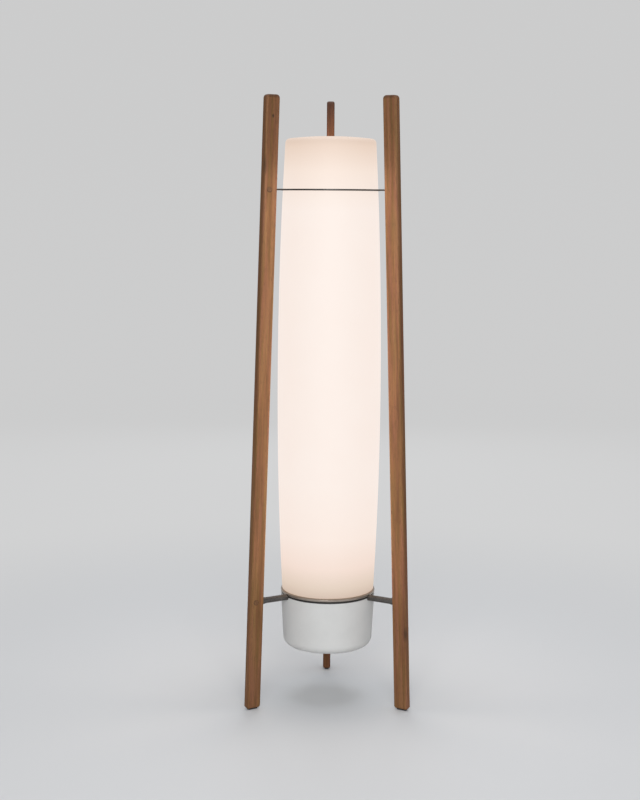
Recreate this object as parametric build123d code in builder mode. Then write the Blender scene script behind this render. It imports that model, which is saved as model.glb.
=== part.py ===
from build123d import *
from math import cos, radians, sin, sqrt, tan
import os

# Outdoor floor lamp: a tall barrel of light held between three leaning hardwood legs.
# Millimetres, +Z up. Everything is drawn about the lamp's own upright axis, with two legs in
# front (-Y) and one behind. The last step sets the pieces down with the origin on the floor, at
# the middle of the lamp's outline in plan.

# Legs
LEG_ANGLES = {"left": 210, "right": 330, "rear": 90}  # degrees around the lamp's axis
LEG_TOP = 1700.0  # height of the leg tops above the floor
LEG_WIDTH = 22.0  # around the lamp
LEG_DEPTH = 42.0  # towards the lamp's axis
LEG_FOOT_RADIUS = 244.0  # centre line to the axis at the floor
LEG_TOP_RADIUS = 184.5  # centre line to the axis at the top
LEG_EDGE_ROUND = 5.0
LEG_TOP_ROUND = 10.0
FOOT_CHAMFER_DEPTH = 4.0
FOOT_CHAMFER_HEIGHT = 5.0
PAD_THICKNESS = 4.0
PAD_LENGTH = 30.0
PAD_WIDTH = 11.0
PAD_CORNER = 4.0
PAD_SCREW_RADIUS = 1.5
PAD_SCREW_GRIP = 18.0  # length in the wood
PAD_SCREW_RECESS = 0.6  # head above the pad's sole

# Round steel that goes into the legs, and the cross dowels it screws into
DOWEL_SETBACK = 24.5  # dowel's axis behind the leg's inner face
DOWEL_RADIUS = 6.5
DOWEL_LENGTH = 14.0
STUD_PAST_DOWEL = 1.5
PLUG_PROUD = 0.3  # plug's face outside the wood

# Support ring and its arms
RING_BOTTOM = 313.0  # underside above the floor
RING_THICKNESS = 6.0
RING_WIDTH = 40.0
RING_MARGIN = 3.7  # ring's edge outside the diffuser's foot
RING_EDGE_ROUND = 1.0
ARM_DROP = 4.5  # arms' axes below the ring's underside
ARM_RADIUS = 8.5
ARM_COLLAR_STEP = 1.3  # collar that seats on the leg, outside the arm
ARM_COLLAR_LENGTH = 8.0
ARM_COLLAR_CHAMFER = 0.8
ARM_SEAT_LENGTH = 28.0  # of an arm under the ring
ARM_STUD_RADIUS = 4.0
ARM_SPOTFACE = 1.0  # depth of the arm's end in the leg
ARM_FLAT_MARGIN = 1.5  # flat on the arm runs past the ring's edge
RING_SCREW_RADIUS = 2.5
RING_SCREW_HEAD = 4.8  # head's radius
COUNTERSINK_ANGLE = 90
RING_SCREW_LENGTH = 15.0
RING_SCREW_INSETS = (20.0, 9.0)  # from the ring's edge

# Upper hoop
HOOP_DROP = 138.0  # below the diffuser's shoulder
HOOP_ROD_RADIUS = 2.25
HOOP_GAP = 0.6  # between hoop and diffuser

# Diffuser: two long arcs that share an upright tangent at the widest place
DIFFUSER_FOOT = 130.5  # radius at the foot
DIFFUSER_SWELL = 14.5  # widest place outside the foot
DIFFUSER_WIDEST_RISE = 565.0  # widest place above the foot
DIFFUSER_TAPER = 20.2  # shoulder inside the widest place
DIFFUSER_SHOULDER_RISE = 1266.0  # shoulder above the foot
DIFFUSER_CROWN_RISE = 8.0  # top above the shoulder
DIFFUSER_FOOT_CORNER = 4.0
DIFFUSER_TOP_CORNER = 12.0
DIFFUSER_WALL = 4.0
DIFFUSER_FLANGE = 8.0  # height of the inward flange at the foot
DIFFUSER_FLANGE_WIDTH = 24.5
GASKET_THICKNESS = 1.0
GASKET_MARGIN = 1.5  # gasket inside the flange's flat
DIFFUSER_SCREW_INSET = 14.5  # from the foot's edge
DIFFUSER_SCREW_RADIUS = 2.0
DIFFUSER_SCREW_BITE = 5.0  # length in the insert
INSERT_RADIUS = 3.5
INSERT_LENGTH = 6.0

# Gear tray under the ring
TRAY_GAP = 2.0  # between the tray's edge and the arms' ends
TRAY_THICKNESS = 3.0
TRAY_SCREW_COUNT = 6
TRAY_SCREW_RADIUS = 2.0
TRAY_SCREW_BITE = 5.0  # length in the ring
GROMMET_WALL = 1.2
GROMMET_LIP = 1.4
GROMMET_LIP_THICKNESS = 2.0

# Driver, terminal block and leads
DRIVER_LENGTH = 90.0
DRIVER_WIDTH = 40.0
DRIVER_HEIGHT = 28.0
DRIVER_PLACE = 36.0  # centre in front of the lamp's axis
DRIVER_CORNER = 3.0
DRIVER_EAR_LENGTH = 10.0
DRIVER_EAR_WIDTH = 26.0
DRIVER_EAR_THICKNESS = 3.0
TERMINAL_LENGTH = 44.0
TERMINAL_WIDTH = 18.0
TERMINAL_HEIGHT = 20.0
TERMINAL_PLACE = 60.0  # centre behind the lamp's axis
TERMINAL_SCREW_SPACING = 34.0
TERMINAL_WAY_COUNT = 3
TERMINAL_PITCH = 8.0
TERMINAL_HOLE_RADIUS = 1.8
TERMINAL_HOLE_DEPTH = 6.0
SMALL_SCREW_RADIUS = 1.5
LEAD_RADIUS = 2.0
LEAD_SPACING = 5.6
LEAD_ROOM = 1.0  # around the leads in the grommet
LEAD_BEND = 9.0
LEAD_DROP = 14.0  # leads' height under the tray
MAINS_LEAD_SPREAD = 16.0

# Spine with its foot and lamp brackets
SPINE_LENGTH_X = 36.0
SPINE_WIDTH_Y = 16.0
SPINE_WALL = 2.0
SPINE_CORNER = 2.0
SPINE_HEADROOM = 43.0  # spine's top below the diffuser's shoulder
FOOT_PLATE_LENGTH = 92.0
FOOT_PLATE_WIDTH = 50.0
FOOT_PLATE_THICKNESS = 4.0
FOOT_PLATE_CORNER = 6.0
FOOT_SCREW_SPACING_X = 76.0
FOOT_SCREW_SPACING_Y = 36.0
FOOT_SCREW_RADIUS = 2.0
COLLAR_WALL = 6.0
COLLAR_HEIGHT = 36.0
COLLAR_SCREW_SPACING = 18.0
COLLAR_SCREW_PAST_WALL = 1.0
BRACKET_MARGIN = 4.0  # bracket's ends outside the holders
BRACKET_WIDTH = 30.0
BRACKET_THICKNESS = 3.0
BRACKET_CORNER = 8.0
BRACKET_SCREW_BITE = 8.0
PLUG_BLOCK_HEIGHT = 8.0

# Lamps and their holders
LAMP_GAP = 20.0  # lamps' axes outside the spine
TUBE_RADIUS = 7.8
TUBE_WALL = 0.8
CAP_RADIUS = 8.0
CAP_LENGTH = 10.0
PIN_RADIUS = 1.15
PIN_LENGTH = 7.0
PIN_SPACING = 4.75
HOLDER_RADIUS = 13.0
HOLDER_HEIGHT = 19.0
ROTOR_RADIUS = 9.0
ROTOR_THICKNESS = 10.0
ROTOR_BACK_GAP = 0.5
HOLDER_SLOT_WIDTH = 3.0
ROTOR_SLOT_DEPTH = 8.0

# Drum under the ring, and the pillars and captive screws that hold it
DRUM_HEIGHT = 151.0
DRUM_SETBACK = 0.5  # rim inside the ring's edge
DRUM_TAPER = 8.0  # floor's edge inside the rim
DRUM_WALL = 3.0
DRUM_BOTTOM_ROUND = 24.0
DRUM_LIP_WIDTH = 9.0  # rim turned inwards
DRUM_LIP_THICKNESS = 4.0
SEAL_HEIGHT = 6.0  # from the drum's rim to the ring
SEAL_SETBACK = 2.5  # seal behind the drum's outside
SEAL_WIDTH = 6.0
NOTCH_GAP = 0.7  # around an arm in the drum's rim
PILLAR_COUNT = 3
PILLAR_RADIUS = 6.0
PILLAR_INSET = 16.0  # inside the tray's screws
PILLAR_GAP = 0.2  # between pillars and the drum's floor
PILLAR_SCREW_RADIUS = 2.5
PILLAR_SCREW_BITE = 12.0

# Cable gland in the drum's floor
CABLE_RADIUS = 4.0
GLAND_THREAD_RADIUS = 8.0
GLAND_THREAD_LENGTH = 14.5  # above the flange
GLAND_FLANGE_RADIUS = 12.5
GLAND_FLANGE_HEIGHT = 4.0
GLAND_NECK_RADIUS = 7.5
GLAND_NECK_LENGTH = 8.5
GLAND_INSERT_RADIUS = 6.0
GLAND_NUT_RADIUS = 11.0
GLAND_NUT_ROUND = 2.5
GLAND_NUT_MOUTH = 3.5  # thickness of the nut's end
GLAND_NUT_GAP = 1.0  # between nut and flange
GLAND_WASHER_RADIUS = 12.0
GLAND_WASHER_THICKNESS = 1.5
LOCKNUT_RADIUS = 12.0
LOCKNUT_HEIGHT = 5.0

# Fits and screw proportions
CLOSE_FIT = 0.05  # radial room of a part that seats in another
RUNNING_FIT = 0.08  # radial room of a part that turns in another
SCREW_ROOM = 0.3  # radial room of a screw that passes through a hole
HEAD_WIDTH_RATIO = 1.9  # head radius per shank radius
HEAD_HEIGHT_RATIO = 1.2  # head height per shank radius
SOCKET_WIDTH_RATIO = 1.0  # socket radius per shank radius
SOCKET_DEPTH_RATIO = 0.7  # socket depth per shank radius
HEXAGON_COUNT = 6

# Heights and places that follow from the sizes above
arm_height = RING_BOTTOM - ARM_DROP
ring_top = RING_BOTTOM + RING_THICKNESS
tray_bottom = RING_BOTTOM - TRAY_THICKNESS
diffuser_bottom = ring_top + GASKET_THICKNESS
widest_height = diffuser_bottom + DIFFUSER_WIDEST_RISE
shoulder_height = diffuser_bottom + DIFFUSER_SHOULDER_RISE
crown_top = shoulder_height + DIFFUSER_CROWN_RISE
hoop_height = shoulder_height - HOOP_DROP
drum_rim = RING_BOTTOM - SEAL_HEIGHT
drum_floor = drum_rim - DRUM_HEIGHT
drum_floor_top = drum_floor + DRUM_WALL
foot_plate_top = RING_BOTTOM + FOOT_PLATE_THICKNESS
collar_top = foot_plate_top + COLLAR_HEIGHT
lower_bracket_top = collar_top + BRACKET_THICKNESS
spine_top = shoulder_height - SPINE_HEADROOM
lamp_low = lower_bracket_top + HOLDER_HEIGHT
lamp_high = spine_top - HOLDER_HEIGHT
gland_flange_top = drum_floor - GLAND_WASHER_THICKNESS
gland_flange_bottom = gland_flange_top - GLAND_FLANGE_HEIGHT
gland_neck_bottom = gland_flange_bottom - GLAND_NECK_LENGTH
gland_bottom = gland_neck_bottom - GLAND_NUT_MOUTH
widest_radius = DIFFUSER_FOOT + DIFFUSER_SWELL
shoulder_radius = widest_radius - DIFFUSER_TAPER
mouth_radius = DIFFUSER_FOOT - DIFFUSER_FLANGE_WIDTH
ring_outer = DIFFUSER_FOOT + RING_MARGIN
ring_inner = ring_outer - RING_WIDTH
arm_inner = ring_outer - ARM_SEAT_LENGTH
tray_radius = arm_inner - TRAY_GAP
tray_screw_circle = (ring_inner + tray_radius) / 2
pillar_circle = tray_screw_circle - PILLAR_INSET
drum_rim_radius = ring_outer - DRUM_SETBACK
drum_floor_radius = drum_rim_radius - DRUM_TAPER
lamp_offset = SPINE_LENGTH_X / 2 + LAMP_GAP
bracket_length = 2 * (lamp_offset + HOLDER_RADIUS + BRACKET_MARGIN)
between_legs = LEG_ANGLES["rear"] + 180 / len(LEG_ANGLES)  # a place midway between two legs
lead_height = tray_bottom - LEAD_DROP

UPWARDS = (Align.CENTER, Align.CENTER, Align.MIN)
DOWNWARDS = (Align.CENTER, Align.CENTER, Align.MAX)


def leg_radius(height):
    """Distance from the lamp's axis to a leg's centre line at a height."""
    return LEG_FOOT_RADIUS + (LEG_TOP_RADIUS - LEG_FOOT_RADIUS) * height / LEG_TOP


def leg_inside(height):
    """Distance from the lamp's axis to a leg's inner face at a height."""
    return leg_radius(height) - LEG_DEPTH / 2


def outwards(angle):
    """Unit vector from the lamp's axis towards the leg at an angle."""
    return Vector(cos(radians(angle)), sin(radians(angle)), 0)


def around(angle):
    """Unit vector anticlockwise around the lamp at an angle."""
    return Vector(-sin(radians(angle)), cos(radians(angle)), 0)


def place(angle, radius, height, sideways=0.0):
    """Point at a distance from the axis, set off anticlockwise by sideways."""
    return outwards(angle) * radius + around(angle) * sideways + Vector(0, 0, height)


def spoke_plane(angle):
    """Upright plane through the axis and a leg: x outwards, y up."""
    return Plane(origin=(0, 0, 0), x_dir=outwards(angle), z_dir=-around(angle))


def outward_plane(angle, radius, height):
    """Plane square to a spoke, facing away from the axis."""
    return Plane(origin=place(angle, radius, height), z_dir=outwards(angle))


def inward_plane(angle, radius, height):
    """Plane square to a spoke, facing the axis."""
    return Plane(origin=place(angle, radius, height), z_dir=-outwards(angle))


def side_plane(angle, radius, height, sideways):
    """Plane on the anticlockwise side of a leg, facing away from the wood."""
    return Plane(origin=place(angle, radius, height, sideways), z_dir=around(angle))


def upward_plane(x, y, height):
    return Plane(origin=(x, y, height), z_dir=(0, 0, 1))


def downward_plane(x, y, height):
    return Plane(origin=(x, y, height), z_dir=(0, 0, -1))


def circle_points(radius, count, start):
    """Plan positions evenly spread on a circle about the axis."""
    turns = [radians(start + 360 * step / count) for step in range(count)]
    return [(radius * cos(turn), radius * sin(turn)) for turn in turns]


def pan_screw(seat, radius, length):
    """Pan-head screw with a hexagon socket: the head stands on the seat, the shank goes into it."""
    head_height = HEAD_HEIGHT_RATIO * radius
    with Locations(seat):
        Cylinder(HEAD_WIDTH_RATIO * radius, head_height, align=UPWARDS)
        Cylinder(radius, length, align=DOWNWARDS)
    with BuildSketch(seat.offset(head_height)) as socket:
        RegularPolygon(SOCKET_WIDTH_RATIO * radius, HEXAGON_COUNT)
    extrude(socket.sketch, amount=-SOCKET_DEPTH_RATIO * radius, mode=Mode.SUBTRACT)


def tube(low, high, outer, inner):
    """Upright round tube on the lamp's axis."""
    with BuildSketch(Plane.XY.offset(low)) as section:
        Circle(outer)
        Circle(inner, mode=Mode.SUBTRACT)
    extrude(section.sketch, amount=high - low)


arm_seat = leg_inside(arm_height) + ARM_SPOTFACE
arm_collar_radius = ARM_RADIUS + ARM_COLLAR_STEP
arm_dowel = leg_inside(arm_height) + DOWEL_SETBACK
hoop_dowel = leg_inside(hoop_height) + DOWEL_SETBACK
stud_past_axis = DOWEL_RADIUS + STUD_PAST_DOWEL
dowel_levels = ((arm_height, arm_dowel), (hoop_height, hoop_dowel))
pad_screw_head = HEAD_HEIGHT_RATIO * PAD_SCREW_RADIUS
pad_screw_seat = PAD_SCREW_RECESS + pad_screw_head
upper_rise = shoulder_height - widest_height
upper_draw = widest_radius - shoulder_radius
upper_arc_radius = (upper_rise**2 + upper_draw**2) / (2 * upper_draw)
hoop_above_widest = hoop_height - HOOP_ROD_RADIUS - widest_height
diffuser_at_hoop = widest_radius - upper_arc_radius + sqrt(upper_arc_radius**2 - hoop_above_widest**2)
hoop_radius = diffuser_at_hoop + HOOP_GAP + HOOP_ROD_RADIUS


# Legs
def make_leg(angle):
    """Leaning slat with rounded edges, drilled for arm, hoop rod, cross dowels and pad screw."""
    spoke = spoke_plane(angle)
    half = LEG_DEPTH / 2
    shin = PAD_THICKNESS + FOOT_CHAMFER_HEIGHT
    sole = half - FOOT_CHAMFER_DEPTH
    with BuildPart() as leg:
        with BuildSketch(spoke) as wide_face:
            with BuildLine():
                Polyline(
                    (leg_radius(PAD_THICKNESS) - sole, PAD_THICKNESS),
                    (leg_radius(PAD_THICKNESS) + sole, PAD_THICKNESS),
                    (leg_radius(shin) + half, shin),
                    (leg_radius(LEG_TOP) + half, LEG_TOP),
                    (leg_radius(LEG_TOP) - half, LEG_TOP),
                    (leg_radius(shin) - half, shin),
                    close=True,
                )
            make_face()
            fillet(wide_face.vertices().group_by(Axis.Y)[-1], LEG_TOP_ROUND)
        extrude(amount=LEG_WIDTH / 2, both=True)
        fillet(leg.faces().filter_by(spoke).edges(), LEG_EDGE_ROUND)
        with Locations(inward_plane(angle, leg_inside(arm_height), arm_height)):
            Hole(arm_collar_radius + CLOSE_FIT, ARM_SPOTFACE)
            Hole(ARM_STUD_RADIUS + CLOSE_FIT, DOWEL_SETBACK + stud_past_axis)
        with Locations(inward_plane(angle, leg_inside(hoop_height), hoop_height)):
            Hole(HOOP_ROD_RADIUS + CLOSE_FIT, DOWEL_SETBACK + stud_past_axis)
        for height, radius in dowel_levels:
            with Locations(side_plane(angle, radius, height, LEG_WIDTH / 2)):
                Hole(DOWEL_RADIUS + CLOSE_FIT, (LEG_WIDTH + DOWEL_LENGTH) / 2)
        sole_centre = place(angle, leg_radius(PAD_THICKNESS), PAD_THICKNESS)
        with Locations(Plane(origin=sole_centre, z_dir=(0, 0, -1))):
            Hole(PAD_SCREW_RADIUS + CLOSE_FIT, PAD_SCREW_GRIP)
    return leg.part


legs = {f"leg_{side}": make_leg(angle) for side, angle in LEG_ANGLES.items()}

with BuildPart() as foot_pads:
    for angle in LEG_ANGLES.values():
        sole_centre = place(angle, leg_radius(PAD_THICKNESS), 0)
        with BuildSketch(Plane(origin=sole_centre, x_dir=outwards(angle), z_dir=(0, 0, 1))):
            RectangleRounded(PAD_LENGTH, PAD_WIDTH, PAD_CORNER)
        extrude(amount=PAD_THICKNESS)
        with Locations(Plane(origin=sole_centre, z_dir=(0, 0, -1))):
            CounterBoreHole(
                PAD_SCREW_RADIUS + SCREW_ROOM,
                HEAD_WIDTH_RATIO * PAD_SCREW_RADIUS + SCREW_ROOM,
                pad_screw_seat,
                PAD_THICKNESS,
            )

with BuildPart() as foot_pad_screws:
    for angle in LEG_ANGLES.values():
        seat = place(angle, leg_radius(PAD_THICKNESS), pad_screw_seat)
        reach = PAD_THICKNESS - pad_screw_seat + PAD_SCREW_GRIP
        pan_screw(Plane(origin=seat, z_dir=(0, 0, -1)), PAD_SCREW_RADIUS, reach)


# Cross dowels and the wooden plugs that hide them
def make_dowels(height, radius, stud_radius):
    """Barrel nuts, one in each leg, drilled for the stud that screws into them."""
    with BuildPart() as dowels:
        for angle in LEG_ANGLES.values():
            with Locations(side_plane(angle, radius, height, 0)):
                Cylinder(DOWEL_RADIUS, DOWEL_LENGTH)
            with Locations(inward_plane(angle, radius - DOWEL_RADIUS, height)):
                Hole(stud_radius + CLOSE_FIT, 2 * DOWEL_RADIUS)
    return dowels.part


arm_dowels = make_dowels(arm_height, arm_dowel, ARM_STUD_RADIUS)
hoop_dowels = make_dowels(hoop_height, hoop_dowel, HOOP_ROD_RADIUS)

with BuildPart() as leg_plugs:
    for angle in LEG_ANGLES.values():
        for height, radius in dowel_levels:
            with Locations(side_plane(angle, radius, height, DOWEL_LENGTH / 2)):
                Cylinder(DOWEL_RADIUS, (LEG_WIDTH - DOWEL_LENGTH) / 2 + PLUG_PROUD, align=UPWARDS)


# Arms from the ring to the legs
def make_arm(angle):
    """Round bar, flat on top under the ring, with a turned collar and stud for the leg."""
    with BuildPart() as arm:
        with BuildSketch(outward_plane(angle, arm_inner, arm_height)):
            Circle(ARM_RADIUS)
        extrude(amount=arm_seat - arm_inner)
        with BuildSketch(outward_plane(angle, arm_seat - ARM_COLLAR_LENGTH, arm_height)):
            Circle(arm_collar_radius)
        extrude(amount=ARM_COLLAR_LENGTH)
        chamfer(arm.edges().filter_by(GeomType.CIRCLE).group_by(SortBy.RADIUS)[-1], ARM_COLLAR_CHAMFER)
        with BuildSketch(outward_plane(angle, arm_seat, arm_height)):
            Circle(ARM_STUD_RADIUS)
        extrude(amount=arm_dowel + stud_past_axis - arm_seat)
        flat_end = ring_outer + ARM_FLAT_MARGIN
        flat_centre = place(angle, (arm_inner + flat_end) / 2, RING_BOTTOM)
        with BuildSketch(Plane(origin=flat_centre, x_dir=outwards(angle), z_dir=(0, 0, 1))):
            Rectangle(flat_end - arm_inner, 2 * ARM_RADIUS)
        extrude(amount=ARM_RADIUS, mode=Mode.SUBTRACT)
        for inset in RING_SCREW_INSETS:
            with Locations(Plane(origin=place(angle, ring_outer - inset, RING_BOTTOM), z_dir=(0, 0, 1))):
                Hole(RING_SCREW_RADIUS + CLOSE_FIT, RING_SCREW_LENGTH - RING_THICKNESS + CLOSE_FIT)
    return arm.part


arms = {f"arm_{side}": make_arm(angle) for side, angle in LEG_ANGLES.items()}

# Support ring, its countersunk screws and the seats for the tray's and the diffuser's screws
ring_screw_seats = [
    Plane(origin=place(angle, ring_outer - inset, ring_top), z_dir=(0, 0, 1))
    for angle in LEG_ANGLES.values()
    for inset in RING_SCREW_INSETS
]
tray_screw_points = circle_points(tray_screw_circle, TRAY_SCREW_COUNT, between_legs)
diffuser_screw_points = circle_points(
    DIFFUSER_FOOT - DIFFUSER_SCREW_INSET, len(LEG_ANGLES), between_legs
)

with BuildPart() as support_ring:
    tube(RING_BOTTOM, ring_top, ring_outer, ring_inner)
    fillet(support_ring.edges().filter_by(GeomType.CIRCLE).group_by(SortBy.RADIUS)[-1], RING_EDGE_ROUND)
    with Locations(ring_screw_seats):
        CounterSinkHole(
            RING_SCREW_RADIUS + CLOSE_FIT,
            RING_SCREW_HEAD + CLOSE_FIT,
            RING_THICKNESS,
            COUNTERSINK_ANGLE,
        )
    with Locations([downward_plane(x, y, RING_BOTTOM) for x, y in tray_screw_points]):
        Hole(TRAY_SCREW_RADIUS + CLOSE_FIT, TRAY_SCREW_BITE)
    with Locations([upward_plane(x, y, ring_top) for x, y in diffuser_screw_points]):
        Hole(DIFFUSER_SCREW_RADIUS + SCREW_ROOM, RING_THICKNESS)

with BuildPart() as ring_screws:
    with Locations(ring_screw_seats):
        head_height = (RING_SCREW_HEAD - RING_SCREW_RADIUS) / tan(radians(COUNTERSINK_ANGLE / 2))
        Cone(RING_SCREW_RADIUS, RING_SCREW_HEAD, head_height, align=DOWNWARDS)
        Cylinder(RING_SCREW_RADIUS, RING_SCREW_LENGTH, align=DOWNWARDS)
    for seat in ring_screw_seats:
        with BuildSketch(seat):
            RegularPolygon(SOCKET_WIDTH_RATIO * RING_SCREW_RADIUS, HEXAGON_COUNT)
        extrude(amount=-SOCKET_DEPTH_RATIO * RING_SCREW_RADIUS, mode=Mode.SUBTRACT)

# Upper hoop and the rods that hold it to the legs
with BuildPart() as upper_hoop:
    with BuildSketch(Plane.XZ):
        with Locations((hoop_radius, hoop_height)):
            Circle(HOOP_ROD_RADIUS)
    revolve(axis=Axis.Z)

with BuildPart() as hoop_rods:
    for angle in LEG_ANGLES.values():
        with BuildSketch(outward_plane(angle, hoop_radius, hoop_height)):
            Circle(HOOP_ROD_RADIUS)
        extrude(amount=hoop_dowel + stud_past_axis - hoop_radius)
    add(upper_hoop.part, mode=Mode.SUBTRACT)


# Diffuser with its gasket, inserts and screws
def barrel_outline(inset, bottom):
    """Half outline of the barrel, drawn in from the outside by inset: foot, two arcs and crown."""
    foot = (DIFFUSER_FOOT - inset, bottom)
    widest = (widest_radius - inset, widest_height)
    shoulder = (shoulder_radius - inset, shoulder_height - inset)
    apex = (0, crown_top - inset)
    Line((0, bottom), foot)
    TangentArc(widest, foot, tangent=(0, -1))
    TangentArc(widest, shoulder, tangent=(0, 1))
    TangentArc(apex, shoulder, tangent=(1, 0))
    Line(apex, (0, bottom))


def round_corner(sketch, corner, radius):
    """Rounds the lowest (0) or highest (-1) corner of a half outline that lies off the axis."""
    off_axis = sketch.vertices().filter_by(lambda vertex: vertex.X > mouth_radius)
    fillet(off_axis.sort_by(Axis.Y)[corner], radius)


with BuildPart() as diffuser:
    with BuildSketch(Plane.XZ) as barrel:
        with BuildLine():
            barrel_outline(0, diffuser_bottom)
        make_face()
        round_corner(barrel, 0, DIFFUSER_FOOT_CORNER)
        round_corner(barrel, -1, DIFFUSER_TOP_CORNER)
    revolve(axis=Axis.Z)
    with BuildSketch(Plane.XZ) as hollow:
        with BuildLine():
            barrel_outline(DIFFUSER_WALL, diffuser_bottom + DIFFUSER_FLANGE)
        make_face()
        round_corner(hollow, -1, DIFFUSER_TOP_CORNER - DIFFUSER_WALL)
    revolve(axis=Axis.Z, mode=Mode.SUBTRACT)
    with Locations(upward_plane(0, 0, diffuser_bottom)):
        Cylinder(mouth_radius, DIFFUSER_FLANGE, align=UPWARDS, mode=Mode.SUBTRACT)
    with Locations([downward_plane(x, y, diffuser_bottom) for x, y in diffuser_screw_points]):
        Hole(INSERT_RADIUS + CLOSE_FIT, INSERT_LENGTH)

with BuildPart() as diffuser_gasket:
    gasket_outer = DIFFUSER_FOOT - DIFFUSER_FOOT_CORNER - GASKET_MARGIN
    tube(ring_top, diffuser_bottom, gasket_outer, mouth_radius + GASKET_MARGIN)
    with Locations([upward_plane(x, y, diffuser_bottom) for x, y in diffuser_screw_points]):
        Hole(DIFFUSER_SCREW_RADIUS + SCREW_ROOM, GASKET_THICKNESS)

with BuildPart() as diffuser_inserts:
    with Locations([upward_plane(x, y, diffuser_bottom) for x, y in diffuser_screw_points]):
        Cylinder(INSERT_RADIUS, INSERT_LENGTH, align=UPWARDS)
    with Locations([downward_plane(x, y, diffuser_bottom) for x, y in diffuser_screw_points]):
        Hole(DIFFUSER_SCREW_RADIUS + CLOSE_FIT, INSERT_LENGTH)

with BuildPart() as diffuser_screws:
    for x, y in diffuser_screw_points:
        reach = RING_THICKNESS + GASKET_THICKNESS + DIFFUSER_SCREW_BITE
        pan_screw(downward_plane(x, y, RING_BOTTOM), DIFFUSER_SCREW_RADIUS, reach)

# Gear tray with its screws and grommet
grommet_bore_width = 2 * (LEAD_RADIUS + LEAD_ROOM)
grommet_bore_length = 3 * LEAD_SPACING + grommet_bore_width
lead_slot_length = grommet_bore_length + 2 * GROMMET_WALL
lead_slot_width = grommet_bore_width + 2 * GROMMET_WALL
lip_length = lead_slot_length + 2 * GROMMET_LIP
lip_width = lead_slot_width + 2 * GROMMET_LIP
driver_ear_reach = DRIVER_LENGTH / 2 + DRIVER_EAR_LENGTH / 2
driver_screw_points = [(-driver_ear_reach, -DRIVER_PLACE), (driver_ear_reach, -DRIVER_PLACE)]
terminal_screw_points = [(side * TERMINAL_SCREW_SPACING / 2, TERMINAL_PLACE) for side in (-1, 1)]
foot_screw_points = [
    (x * FOOT_SCREW_SPACING_X / 2, y * FOOT_SCREW_SPACING_Y / 2) for x in (-1, 1) for y in (-1, 1)
]
pillar_points = circle_points(pillar_circle, PILLAR_COUNT, between_legs)

with BuildPart() as gear_tray:
    with BuildSketch(Plane.XY.offset(tray_bottom)):
        Circle(tray_radius)
        SlotOverall(lead_slot_length, lead_slot_width, mode=Mode.SUBTRACT)
        for points, radius in (
            (tray_screw_points, TRAY_SCREW_RADIUS + SCREW_ROOM),
            (pillar_points, PILLAR_SCREW_RADIUS + SCREW_ROOM),
            (driver_screw_points, SMALL_SCREW_RADIUS + CLOSE_FIT),
            (terminal_screw_points, SMALL_SCREW_RADIUS + CLOSE_FIT),
            (foot_screw_points, FOOT_SCREW_RADIUS + CLOSE_FIT),
        ):
            with Locations(points):
                Circle(radius, mode=Mode.SUBTRACT)
    extrude(amount=TRAY_THICKNESS)

with BuildPart() as tray_screws:
    for x, y in tray_screw_points:
        pan_screw(downward_plane(x, y, tray_bottom), TRAY_SCREW_RADIUS, TRAY_THICKNESS + TRAY_SCREW_BITE)

with BuildPart() as tray_grommet:
    with BuildSketch(Plane.XY.offset(tray_bottom - GROMMET_LIP_THICKNESS)):
        SlotOverall(lip_length, lip_width)
    extrude(amount=GROMMET_LIP_THICKNESS)
    with BuildSketch(Plane.XY.offset(tray_bottom)):
        SlotOverall(lead_slot_length, lead_slot_width)
    extrude(amount=TRAY_THICKNESS)
    with BuildSketch(Plane.XY.offset(RING_BOTTOM)):
        SlotOverall(lip_length, lip_width)
    extrude(amount=GROMMET_LIP_THICKNESS)
    with BuildSketch(Plane.XY.offset(tray_bottom - GROMMET_LIP_THICKNESS)):
        SlotOverall(grommet_bore_length, grommet_bore_width)
    extrude(amount=TRAY_THICKNESS + 2 * GROMMET_LIP_THICKNESS, mode=Mode.SUBTRACT)

# Driver and terminal block under the tray, with the leads between them
driver_ear_bottom = tray_bottom - DRIVER_EAR_THICKNESS
driver_screw_seats = [downward_plane(x, y, driver_ear_bottom) for x, y in driver_screw_points]
with BuildPart() as driver:
    with BuildSketch(upward_plane(0, -DRIVER_PLACE, tray_bottom - DRIVER_HEIGHT)):
        RectangleRounded(DRIVER_LENGTH, DRIVER_WIDTH, DRIVER_CORNER)
    extrude(amount=DRIVER_HEIGHT)
    fillet(driver.faces().sort_by(Axis.Z)[0].edges(), DRIVER_CORNER / 2)
    with BuildSketch(upward_plane(0, -DRIVER_PLACE, driver_ear_bottom)):
        RectangleRounded(DRIVER_LENGTH + 2 * DRIVER_EAR_LENGTH, DRIVER_EAR_WIDTH, DRIVER_CORNER)
    extrude(amount=DRIVER_EAR_THICKNESS)
    with Locations(driver_screw_seats):
        Hole(SMALL_SCREW_RADIUS + SCREW_ROOM, DRIVER_EAR_THICKNESS)

with BuildPart() as driver_screws:
    for seat in driver_screw_seats:
        pan_screw(seat, SMALL_SCREW_RADIUS, DRIVER_EAR_THICKNESS + TRAY_THICKNESS)

terminal_bottom = tray_bottom - TERMINAL_HEIGHT
with BuildPart() as terminal_block:
    with BuildSketch(upward_plane(0, TERMINAL_PLACE, terminal_bottom)):
        RectangleRounded(TERMINAL_LENGTH, TERMINAL_WIDTH, DRIVER_CORNER)
    extrude(amount=TERMINAL_HEIGHT)
    with Locations([downward_plane(x, y, terminal_bottom) for x, y in terminal_screw_points]):
        Hole(SMALL_SCREW_RADIUS + SCREW_ROOM, TERMINAL_HEIGHT)
    with Locations(downward_plane(0, TERMINAL_PLACE, terminal_bottom)):
        with GridLocations(TERMINAL_PITCH, TERMINAL_PITCH, TERMINAL_WAY_COUNT, 1):
            Hole(TERMINAL_HOLE_RADIUS, TERMINAL_HOLE_DEPTH)

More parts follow.
